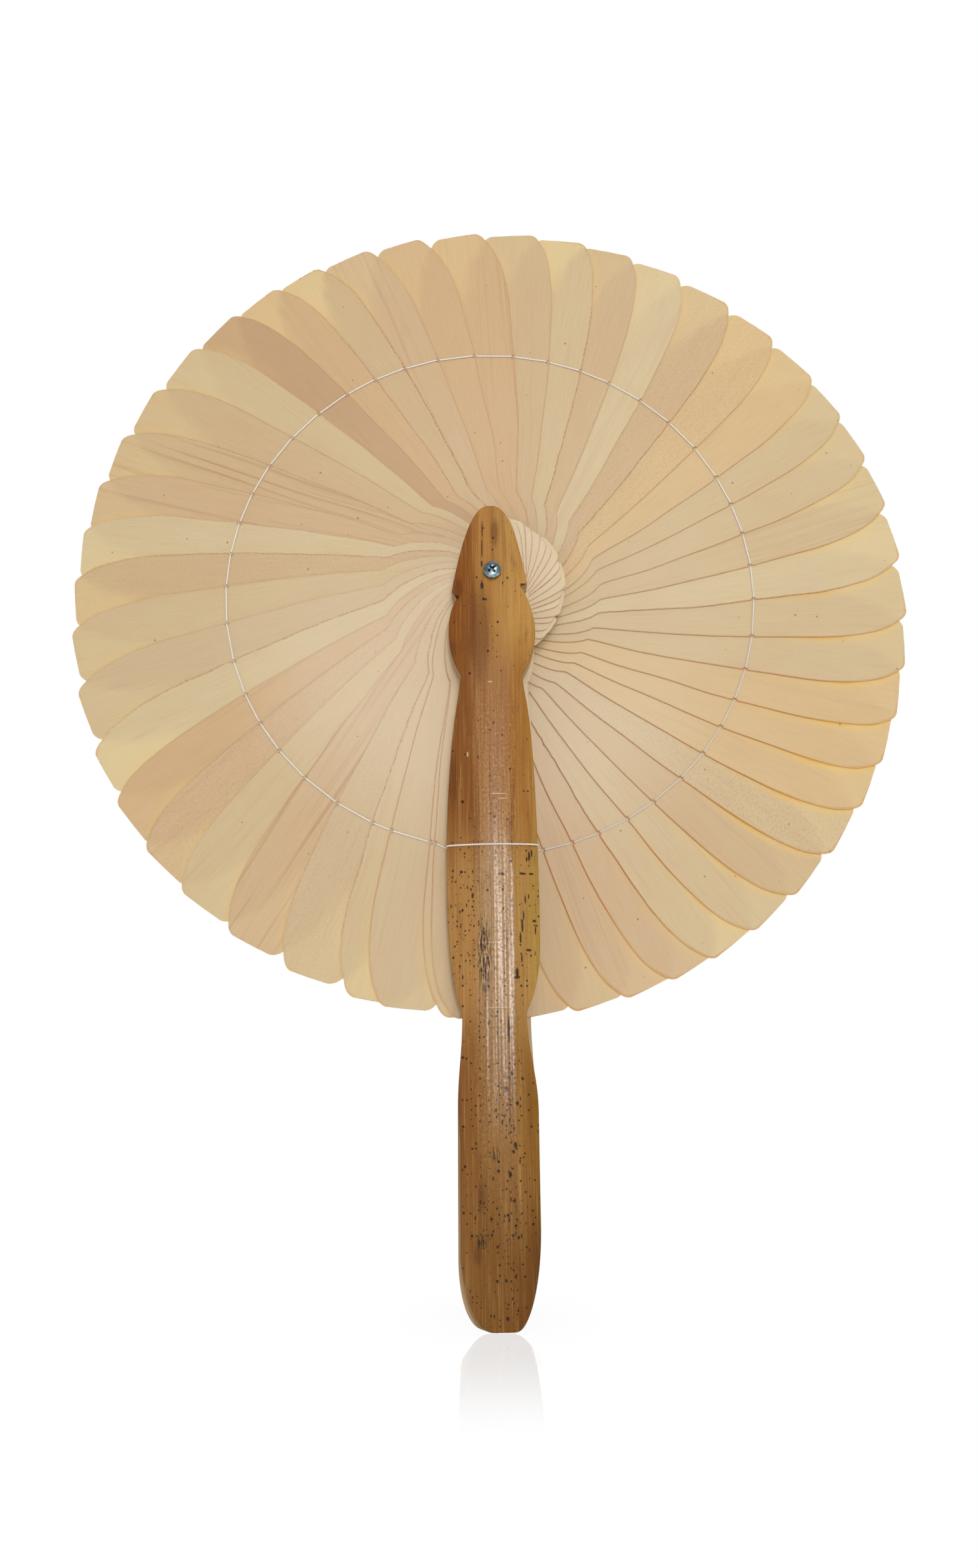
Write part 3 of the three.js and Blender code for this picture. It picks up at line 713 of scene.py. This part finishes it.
# middles and half-sizes, across and down: black marks, soft stains, areas crowded with specks, rotten streaks
# and pale scratches
frontWear = {
    "marks": [
        (-3.0, -14.0, 0.2, 2.6), (-3.1, -8.0, 0.2, 3.2), (-3.2, -2.6, 0.3, 1.0), (-3.2, 4.8, 0.45, 1.0),
        (-2.7, 9.1, 0.4, 0.5), (-2.0, 9.3, 0.3, 0.35), (1.5, 16.8, 0.34, 0.4), (-1.6, 26.2, 0.36, 0.36),
        (9.8, 4.0, 1.2, 0.4), (-11.3, 8.0, 0.9, 0.8), (0.4, -11.0, 0.25, 0.5), (0.2, -7.2, 0.24, 0.3),
        (9.9, 89.5, 0.3, 1.3), (10.7, 88.6, 0.25, 1.0), (9.2, 90.4, 0.25, 0.7), (1.7, 94.8, 0.95, 0.42),
        (7.9, 94.7, 0.95, 0.34), (10.5, 94.7, 0.7, 0.3), (8.6, 102.3, 0.22, 1.2), (9.6, 101.4, 0.2, 0.7),
        (8.0, 106.8, 0.22, 1.3), (7.6, 109.9, 0.28, 1.7), (7.0, 113.4, 0.28, 1.6), (11.2, 108.5, 0.6, 0.38),
        (11.4, 111.2, 0.22, 1.2), (9.4, 116.9, 0.85, 0.36), (7.3, 119.1, 0.22, 1.2), (5.9, 123.2, 0.45, 1.3),
        (5.9, 124.6, 0.85, 0.42), (3.3, 139.2, 0.32, 3.3), (-2.5, 137.2, 0.34, 0.7), (-6.8, 101.0, 0.34, 0.8),
        (4.0, 151.2, 0.48, 0.42), (2.3, 155.4, 0.6, 0.7), (5.4, 159.3, 0.4, 0.6), (4.7, 170.4, 0.45, 0.8),
        (4.1, 172.2, 0.34, 0.45), (-0.1, 177.2, 0.38, 0.4), (3.1, 178.1, 0.42, 0.85),
        (-9.4, 176.1, 0.38, 0.38), (-0.8, 205.4, 0.36, 0.36), (1.9, 214.8, 0.42, 0.5),
        (5.2, 194.5, 0.38, 0.38), (-9.6, 73.0, 0.5, 0.5)],
    "stains": [
        (-4.4, 20.0, 4.4, 17.0), (-5.0, 184.0, 1.2, 5.0), (-12.5, 66.0, 1.6, 9.0), (1.0, -13.0, 1.6, 5.0),
        (-6.0, 199.0, 1.4, 3.0), (-10.5, 5.0, 1.6, 4.0), (-12.6, 25.0, 1.2, 4.0)],
    "crowds": [
        (-9.0, 89.5, 2.6, 4.0), (-10.5, 121.5, 2.6, 6.0), (4.4, 170.0, 2.4, 22.0), (-3.4, 119.0, 1.7, 9.0),
        (2.5, 158.0, 4.0, 9.0), (3.2, 208.0, 2.0, 9.0), (0.6, 22.0, 1.6, 7.0), (0.0, 190.0, 8.0, 9.0),
        (-9.5, 106.0, 4.0, 18.0)],
    "streaks": [(-3.4, 118.5, 2.2, 11.0), (-1.0, 172.5, 1.4, 2.0), (-5.0, 196.0, 1.5, 3.0)],
    "scratches": [
        (1.1, 70.8, 2.6, 0.16), (2.4, 72.2, 1.6, 0.14), (-8.0, 58.5, 0.3, 0.7), (0.5, 133.0, 3.2, 0.14),
        (-1.0, 36.0, 0.8, 0.25), (-0.4, 114.6, 2.6, 0.12)],
}
rearWear = {
    "marks": [
        (5.0, 60.0, 0.3, 1.4), (-4.0, 95.0, 0.9, 0.3), (2.0, 126.0, 0.25, 2.2), (-6.0, 150.0, 0.4, 0.5)],
    "stains": [(4.0, 28.0, 2.0, 8.0), (-6.0, 188.0, 2.0, 6.0)],
    "crowds": [(2.0, 165.0, 5.0, 24.0), (-7.0, 100.0, 3.0, 9.0)],
    "streaks": [(5.5, 112.0, 1.4, 8.0)],
    "scratches": [(-2.0, 80.0, 2.4, 0.14)],
}


def bambooFinish(name, wear):
    look, h = bambooLook, handleSet
    material, f = newMaterial(name)
    x, y, z = f.parts(f.add("ShaderNodeTexCoord", out=3))
    across = x * 1000.0
    drop = pivot[2] - z * 1000.0
    deep = abs(y * 1000.0) - innerFace

    def zone(value, part):
        return f.step(value, *look[part])

    def nearest(kind):
        # share of the way out of the nearest ellipse, 1 on its outline
        least = None
        for spotAcross, spotDrop, halfWidth, halfLength in wear[kind]:
            sideways, down = (across - spotAcross) / halfWidth, (drop - spotDrop) / halfLength
            away = sideways * sideways + down * down
            least = away if least is None else least.atMost(away)
        return least ** 0.5

    def bands(tones, cuts):
        colour = paint(*tones[0])
        for tone, cut in zip(tones[1:], cuts):
            colour = f.mix(f.step(a, *cut), colour, paint(*tone))
        return colour

    crown = (h["culmRadius"] ** 2 - across * across) ** 0.5 + (h["wall"] - h["culmRadius"])
    skin = zone(deep - crown + zone(across, "shaved") * 0.35, "skin")  # 1 on the skin, 0 on cut walls
    fine, broad, cloud, leather, pepper, crinkle = (
        f.pattern(across, drop, look[part])
        for part in ("fine", "broad", "cloud", "leather", "pepper", "crinkle"))
    wander = f.pattern(across, drop, look["wander"]) - 0.5
    ragged = (f.pattern(across, drop, look["ragged"]) - 0.5) * 0.8
    a = across + wander * 2.4
    colour = bands(look["head"], look["headCuts"])
    for stretch, start in look["starts"].items():
        colour = f.mix(f.step(drop + wander * 14.0, *start), colour, bands(look[stretch], look["cuts"]))
    # long soft streaks, fine fibres, dark mottle, pale mottle in the middle that is partly a painted sheen of the
    # worn gloss, and thin lines where a bundle of fibres ends
    middle = zone(abs(across), "middle") * zone(drop, "middleFrom")
    # the stretch above the grip where the painted sheen is laid
    sheenZone = zone(drop, "sheenZone")
    colour = f.layers(colour, bambooLayers, (
        ("darkStreak", broad, 1.0), ("paleStreak", broad, 1.0), ("cloud", cloud, 1.0),
        ("darkFibre", fine, 1.0), ("paleFibre", fine, 1.0), ("darkLeather", leather, 0.2 + middle * 0.3),
        ("paleMottleSheen", leather, middle * sheenZone), ("pepper", pepper, zone(drop, "peppered"))))
    thin = 0.0
    for line in look["lines"]:
        thin = zone(abs(a - line + (fine - 0.5) * 0.3), "strand") + thin
    thin = thin * zone(drop, "strandFrom") * zone(drop, "strandTo")
    colour = f.mix(thin * 0.4, colour, paint(*look["lineTone"]))
    # specks: small round ones, thicker in crowded areas, and short dashes along the fibres
    crowded, low = zone(nearest("crowds"), "crowd"), zone(drop, "low")
    speck = 0.0
    for rule, rare, lower in look["specks"]:
        dots = f.specks(across, drop, rule, rare - crowded * look["crowding"] - low * lower)
        speck = dots.atLeast(speck)
    colour = f.mix(speck * 0.9, colour, paint(*look["speckTone"]))
    # single faults, with painted pale glints in the rotten streaks, and the pale wall below the skin
    rotten = zone(nearest("streaks"), "rotten")
    colour = f.layers(colour, bambooLayers, (
        ("rot", crinkle, rotten), ("rotGlint", crinkle, rotten * sheenZone),
        ("stain", nearest("stains") + ragged, 1.0), ("scratch", nearest("scratches") + ragged, 1.0)))
    dent = zone(nearest("marks") + ragged * 1.4, "dent")
    colour = f.mix(dent * 0.88, colour, paint(*look["markTone"]))
    fibre = f.noise(f.place(deep * 2.2, drop * 0.03, across * 0.05), 3.0, 0.65)
    wall = f.layers(paint(*look["wallTone"]), bambooLayers, (
        ("wallFibre", fibre, 1.0), ("wallRim", crown - deep, 1.0)))
    colour = f.mix(skin, wall, colour)
    # a worn gloss down the middle facet, which catches the light
    polished = zone(a, "glossLeft") * zone(a + zone(drop, "narrow") * 2.4, "glossRight")
    polished = polished * zone(drop, "glossFrom") * zone(drop, "glossTo")
    worn = zone(leather, "worn") * 0.6 + 0.3
    height = fine * 0.35 + leather * 0.5 + thin * -0.3 + dent * -0.8 + crinkle * rotten * 1.5
    f.output(f.add("ShaderNodeBsdfPrincipled", None, {
        "Base Color": colour, "Roughness": 0.46 + cloud * 0.16 + (1 - skin) * 0.2, "Specular IOR Level": 0.16,
        "Coat Weight": polished * worn * (1 - rotten * 0.6), "Coat Roughness": 0.2,
        "Normal": f.bump(height, 0.4, 0.08)}))
    return material


# Screw, washer and nut
screwSet = {
    "headRadius": 2.8, "headHeight": 2.2, "edgeRound": 0.15,
    "domeHeight": 1.15, "domePower": 0.85, "domeRows": 20,
    "shank": 1.5, "pitch": 0.5, "pitchSteps": 10, "threadDepth": 0.28, "threadLead": 2.0, "tipChamfer": 0.3,
    "armHalf": 1.55, "armWidth": 0.44, "turn": 38.0, "screwCols": 64,
    "recess": ((0.0, -1.0), (1.3, -1.0), (1.0, 0.1), (0.42, 1.35), (0.0, 1.6)),
    "holeRadius": 1.65, "washerRadius": 3.5, "washerSoft": 0.08, "washerCols": 72,
    "flats": 5.5, "nutFace": 0.96, "nutSoft": 0.2, "nutCone": 0.55, "nutRim": 0.06, "nutCols": 96,
}


def makeScrew():
    # dome, rim and underside of the head, a plain shank, and a helical thread at the tail
    s = screwSet
    top, tail = span("pivot_screw", 1)
    seat, edge = top + s["headHeight"], s["edgeRound"]
    t = np.linspace(0, np.pi / 2, s["domeRows"])
    dome = [s["headRadius"] * np.sin(t) ** s["domePower"], top + s["domeHeight"] * (1 - np.cos(t))]
    rim = [(s["headRadius"], seat - edge), (s["headRadius"] - edge, seat), (s["shank"], seat)]
    threadFrom, threadTo = crownFace - s["threadLead"], tail - s["tipChamfer"]
    along = np.arange(threadFrom, threadTo, s["pitch"] / s["pitchSteps"])
    shank = [np.full(len(along), s["shank"]), along]
    tip = [(s["shank"] - s["tipChamfer"], tail), (0, tail)]
    profile = np.concatenate([np.stack(dome, axis=-1), rim, np.stack(shank, axis=-1), tip])
    grid = revolve(profile, s["screwCols"])
    centre = pivot[[0, 2]]
    offset = grid[..., [0, 2]] - centre
    turn = np.arctan2(offset[..., 1], offset[..., 0]) / (2 * np.pi)
    wave = np.abs(((grid[..., 1] - threadFrom) / s["pitch"] - turn) % 1 - 0.5) * 2
    threaded = (grid[..., 1] > threadFrom + 0.01) & (grid[..., 1] < threadTo)
    shrink = 1 - threaded * wave * s["threadDepth"] / s["shank"]
    grid[..., [0, 2]] = centre + offset * shrink[..., None]
    screw = makePiece("zinc_screw", grid, crease=40)
    # the tool for the cross recess: a four-armed star, by its share of full size at each depth
    arm, width = s["armHalf"], s["armWidth"]
    quarter = np.array([(arm, -width), (arm, width), (width, width)])
    turns = [sinCos(s["turn"] + 90 * count) for count in range(4)]
    star = np.concatenate([quarter @ np.array([(cos, sin), (-sin, cos)]) for sin, cos in turns])
    rows = [np.stack([pivot[0] + share * star[:, 0], np.full(len(star), top + depth),
                      pivot[2] + share * star[:, 1]], axis=-1) for share, depth in s["recess"]]
    recess = makePiece("recess_tool", np.stack(rows))
    carve(screw, recess, crease=30)
    putAway(recess)
    return screw


def makeWasher():
    # a flat ring with softened edges, closed round its hole
    s = screwSet
    low, high = span("pivot_washer", 1)
    outer, hole, soft = s["washerRadius"], s["holeRadius"], s["washerSoft"]
    rows = [(hole, low), (outer - soft, low), (outer, low + soft), (outer, high - soft), (outer - soft, high),
            (hole, high)]
    return makePiece("zinc_washer", revolve(rows, s["washerCols"]), True, crease=25)


def makeNut():
    # hexagon whose corners are cut back by a shallow cone at both faces
    s = screwSet
    low, high = span("pivot_nut", 1)
    hole, soft, flat = s["holeRadius"], s["nutSoft"], s["flats"] / 2
    face = flat * s["nutFace"]
    rows = [(hole, low + soft), (hole + soft, low), (face, low), (flat, low), (flat, high), (face, high),
            (hole + soft, high), (hole, high - soft)]
    grid = revolve(rows, s["nutCols"])
    angle = np.linspace(0, 2 * np.pi, s["nutCols"], endpoint=False)
    hexagon = 1 / np.cos((angle + np.pi / 6) % (np.pi / 3) - np.pi / 6)
    drop = (hexagon - 1) * flat * s["nutCone"] + s["nutRim"]
    centre, rim = pivot[[0, 2]], grid[3:5]
    rim[..., [0, 2]] = centre + (rim[..., [0, 2]] - centre) * hexagon[:, None]
    rim[0, :, 1] += drop
    rim[1, :, 1] -= drop
    return makePiece("zinc_nut", grid, True, crease=25)


def zincFinish():
    material, f = newMaterial("zinc_plate")
    place = f.add("ShaderNodeTexCoord", out=3)
    x, y, z = f.parts(place)
    patch = f.noise(f.place(x * 900.0, y * 900.0, z * 900.0), 3.0, 0.6)
    scratch = f.noise(f.place(x * 5200.0, y * 700.0, z * 900.0), 2.0)
    colour = f.mix(f.step(patch, 0.35, 0.7), paint(112, 140, 150), paint(182, 192, 194))
    f.output(f.add("ShaderNodeBsdfPrincipled", None, {
        "Base Color": colour, "Metallic": 1.0, "Roughness": 0.16 + patch * 0.16,
        "Normal": f.bump(scratch, 0.15, 0.02)}))
    return material


# Thread: two plies twisted together, from nick to nick and round each handle half
threadSet = {
    "radius": 0.28, "lobe": 0.36, "lay": 1.5, "step": 0.16, "sides": 14, "pressed": 0.06,
    "tuck": 0.35, "tuckRun": 0.7, "start": 0.45, "points": 24,
    "wrapFlat": 12, "wrapSkin": 40, "wrapLift": 0.5, "wrapFall": 0.6, "smoothing": 2,
}


def twine(name, route, guide):
    # a section of two lobes, turned by the lay as it is carried along the route, with rounded ends
    s = threadSet
    travel = travelled(route)
    even = np.arange(0, travel[-1], s["step"])
    path = np.stack([np.interp(even, travel, axis) for axis in route.T], axis=-1)
    tangent = np.gradient(path, axis=0)
    tangent /= np.linalg.norm(tangent, axis=1, keepdims=True)
    first = np.cross(tangent, guide)
    first /= np.linalg.norm(first, axis=1, keepdims=True)
    second = np.cross(tangent, first)
    around = np.linspace(0, 2 * np.pi, s["sides"], endpoint=False)
    turn = 2 * np.pi * even[:, None] / s["lay"]
    radius = s["radius"] * (1 - s["lobe"] * np.sin(around - turn) ** 2)
    fromEnd = np.minimum(even, even[-1] - even)
    radius = radius * np.sqrt(ramp(fromEnd, 0, s["radius"]))[:, None]
    grid = path[:, None] + radius[..., None] * (np.cos(around)[:, None] * first[:, None]
                                                + np.sin(around)[:, None] * second[:, None])
    thread = makePiece(name, grid, crease=60)
    points = pointsOf(thread)
    nearest = np.argmin(np.linalg.norm(points[:, None] - path, axis=2), axis=1)
    away = points - path[nearest]
    angle = np.arctan2((away * second[nearest]).sum(axis=1), (away * first[nearest]).sum(axis=1))
    markPiece(thread, {"lay": (even[nearest], angle, fromEnd[nearest])})
    return thread


def threadRun(number, start, end):
    # lies on the front of a leaf, from the nick of the leaf before to its own, with tucked ends
    s = threadSet
    start = start + s["start"] * (end - start) / np.linalg.norm(end - start)
    share = np.linspace(0, 1, s["points"])
    route = start + share[:, None] * (end - start)
    fromEnd = np.minimum(share, 1 - share) * np.linalg.norm(end - start)
    tuck = s["tuck"] * s["radius"] * np.clip(1 - fromEnd / s["tuckRun"], 0, 1) ** 2
    route[:, 1] = leafFronts[number] - s["radius"] + tuck
    return twine("thread_" + leafNames[number], route, (0.0, 1.0, 0.0))


def threadWrap(name, half):
    # one turn round a handle half: over the skin, down both sides and through the groove
    s = threadSet
    left, right = (np.interp(threadRing, outline[:, 1], outline[:, 0])
                   for outline in (handleSide(half["left"]), handleSide(half["right"])))
    r, low = s["radius"], handleSet["groove"] / 2
    lift, fall = low + s["wrapLift"], s["wrapFall"]
    route = [(x, low) for x in np.linspace(1 - left, right, s["wrapFlat"])]
    route += [(right + r, lift), (right + r, skinHeight(right) - fall)]
    route += [(x, skinHeight(x) + r) for x in np.linspace(right, -left, s["wrapSkin"])]
    route += [(-left - r, skinHeight(left) - fall), (-left - r, lift)]
    route = np.array(route)
    for _ in range(s["smoothing"]):
        route[1:-1] = (route[:-2] + 2 * route[1:-1] + route[2:]) / 4
    points = np.stack([pivot[0] + route[:, 0], half["side"] * (innerFace + route[:, 1]),
                       np.full(len(route), threadHeight)], axis=-1)
    return twine(name, points, (0.0, 0.0, 1.0))


def threadFinish():
    material, f = newMaterial("white_thread")
    along, around, fromEnd = f.parts(f.mark("lay"))
    fibre = f.noise(f.place(along * 9.0 - around * 2.2, around * 3.0), 2.0)
    x, _, z = f.parts(f.add("ShaderNodeTexCoord", out=3))
    # a greyer tone towards the lower right of the fan
    worn = f.step(x - z + float(pivot[2] * mm), 0.06, 0.125) * 0.5
    colour = f.mix(f.step(fibre, 0.35, 0.7), paint(204, 196, 185), paint(253, 251, 247))
    colour = f.mix(worn, colour, paint(196, 182, 166))
    # painted shade at each end of a run, where it tucks into its nick
    colour = f.mix(f.step(fromEnd, 0.5, 0.1) * 0.6, colour, paint(158, 112, 70))
    f.output(f.add("ShaderNodeBsdfPrincipled", None, {
        "Base Color": colour, "Roughness": 0.8, "Specular IOR Level": 0.2,
        "Normal": f.bump(fibre, 0.4, 0.04)}))
    return material


# Camera first, at the photograph's angle
cameraSet = {
    "lens": 24.35, "sensor": 36, "clip": 0.01, "place": (-1.65, -324.5, -135.5), "pitch": 12.36, "roll": -0.6,
}


def makeCamera():
    s = cameraSet
    lens = bpy.data.cameras.new("camera")
    lens.lens = s["lens"]
    lens.sensor_width = s["sensor"]
    lens.clip_start = s["clip"]
    camera = addObject("camera", lens)
    camera.location = (np.array(s["place"]) + (0, 0, pivot[2])) * mm
    camera.rotation_mode = "ZXY"                       # roll about the view's own axis, then the pitch
    camera.rotation_euler = (math.radians(90 + s["pitch"]), 0, math.radians(s["roll"]))
    scene.camera = camera


stageSet = {
    "side": 1.5, "shadow": 0.06, "shadowFrom": 0.04, "shadowFull": 0.008,
    "mirror": 0.24, "mirrorFrom": -0.09, "mirrorFull": -0.03, "mirrorStart": -0.0155,
    "mirrorEdge": -0.001, "roundFrom": 0.003, "roundRun": 0.0054, "roundFall": 0.014,
    "floorBehind": (-0.3, -0.1), "skyBehind": (-0.25, 0.15), "room": 0.3, "ambient": 0.55,
}


def seenRays(f):
    # camera rays, and the mirror and see-through rays that show the background too
    light = f.add("ShaderNodeLightPath").socket.node.outputs
    camera, glossy, through = (Value(f, light[name])
                               for name in ("Is Camera Ray", "Is Glossy Ray", "Is Transmission Ray"))
    return camera, glossy.atLeast(through)


def makeFloor():
    # white where it is seen, with the object's shadow and a short faint reflection
    s = stageSet
    corners = np.array([(-1, -1, 0), (1, -1, 0), (1, 1, 0), (-1, 1, 0)]) * s["side"]
    floor = bpy.data.meshes.new("floor")
    floor.from_pydata(corners.tolist(), [], [(0, 1, 2, 3)])
    plane = addObject("floor", floor)
    material, f = newMaterial("white_floor")
    camera, mirrored = seenRays(f)
    x, y, _ = f.parts(f.add("ShaderNodeTexCoord", out=3))
    away = (x * x + y * y) ** 0.5
    plain = f.add("ShaderNodeBsdfDiffuse", None, {"Color": (1, 1, 1, 1)})
    bright = f.add("ShaderNodeEmission", None, {"Color": (1, 1, 1, 1), "Strength": 1.0})
    gloss = f.add("ShaderNodeBsdfGlossy", None, {"Color": paint(255, 244, 234), "Roughness": 0.01})
    shaded = f.step(away, s["shadowFrom"], s["shadowFull"]) * s["shadow"]
    behind = f.step(y, *s["floorBehind"])
    shown = (camera * (1 - shaded)).atLeast(mirrored * behind)
    surface = f.add("ShaderNodeMixShader", None, {0: shown, 1: plain, 2: bright})
    beside = (abs(x) - s["roundFrom"]).atLeast(0.0) / s["roundRun"]
    ahead = y + beside * beside * s["roundFall"] - s["mirrorStart"]
    reflect = f.step(y, s["mirrorFrom"], s["mirrorFull"]) * f.step(ahead, 0.0, s["mirrorEdge"])
    f.output(f.add("ShaderNodeMixShader", None, {0: reflect * camera * s["mirror"], 1: surface, 2: gloss}))
    floor.materials.append(material)


def makeSky():
    # white behind the object, and a dimmer room on the camera's side
    s = stageSet
    scene.world = bpy.data.worlds.new("sky")
    scene.world.use_nodes = True
    f = Finish(scene.world.node_tree)
    camera, mirrored = seenRays(f)
    _, y, _ = f.parts(f.add("ShaderNodeTexCoord", out=0))
    behind = s["room"] + f.step(y, *s["skyBehind"]) * (1 - s["room"])
    strength = camera.atLeast(mirrored * behind) + (1 - camera.atLeast(mirrored)) * s["ambient"]
    f.output(f.add("ShaderNodeBackground", None, {"Color": (1, 1, 1, 1), "Strength": strength}),
             "ShaderNodeOutputWorld")


lamps = {
    "top": {"place": (0.12, -0.9, 0.62), "aim": (0, 0, 0.22), "size": (0.4, 0.4), "power": 2.6},
    "rear": {"place": (-0.15, 0.9, 0.55), "aim": (0, 0, 0.2), "size": (0.5, 0.5), "power": 2.2},
    "front": {"place": (0.085, -0.85, 0.14), "aim": (0, 0, 0.1), "size": (0.08, 0.24), "power": 1.6},
}


def makeLamps():
    for name, lamp in lamps.items():
        light = bpy.data.lights.new(name, "AREA")
        light.shape = "RECTANGLE"
        light.size, light.size_y = lamp["size"]
        light.energy = lamp["power"]
        holder = addObject(name, light)
        holder.location = lamp["place"]
        away = np.array(lamp["place"]) - np.array(lamp["aim"])
        flat = math.hypot(away[0], away[1])
        holder.rotation_euler = (math.atan2(flat, away[2]), 0, math.atan2(away[0], -away[1]))


makeCamera()
makeFloor()
makeSky()
makeLamps()
print("camera, floor and lamps made")

draw = np.random.default_rng(leafSet["seed"])
veneer = leafFinish()
cuts = []
drill = makeDrill("leaf_drill", leafSet["hole"], -40, 40, 40)
for number, name in enumerate(leafNames):
    leaf, edges = makeLeaf(number, draw, drill, cuts[-1] if cuts else None)
    cuts.append(edges)
    dress(leaf, veneer, name, name)
    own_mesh(leaf)
putAway(drill)
print("leaves made:", len(cuts))

for end, wear in (("front", frontWear), ("rear", rearWear)):
    handle = makeHandle("bamboo_" + end + "_half", halves[end])
    dress(handle, bambooFinish("bamboo_" + end, wear), end + "_handle", end + "_handle")
    handle.visible_glossy = end == "front"             # the front half alone shows in the floor's reflection
print("handle halves made")

zinc = zincFinish()
for piece, node in ((makeScrew(), "pivot_screw"), (makeWasher(), "pivot_washer"), (makeNut(), "pivot_nut")):
    dress(piece, zinc, "rear_handle", node)
print("screw, washer and nut made")

white = threadFinish()
for end, half in halves.items():
    wrap = threadWrap("thread_" + end + "_wrap", half)
    dress(wrap, white, end + "_handle", end + "_thread_wrap")
places = [np.array([pivot[0] - halves["front"]["left"]["bellyHalf"], 0.0, threadHeight])]
places += [turned(cut["nick"] * (-1, 1), 0.0, cut["angle"]) for cut in cuts]
for number, name in enumerate(leafNames):
    run = threadRun(number, places[number], places[number + 1])
    dress(run, white, name, "binding_thread")
    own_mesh(run)
print("thread made")

scene.view_settings.view_transform = "Standard"
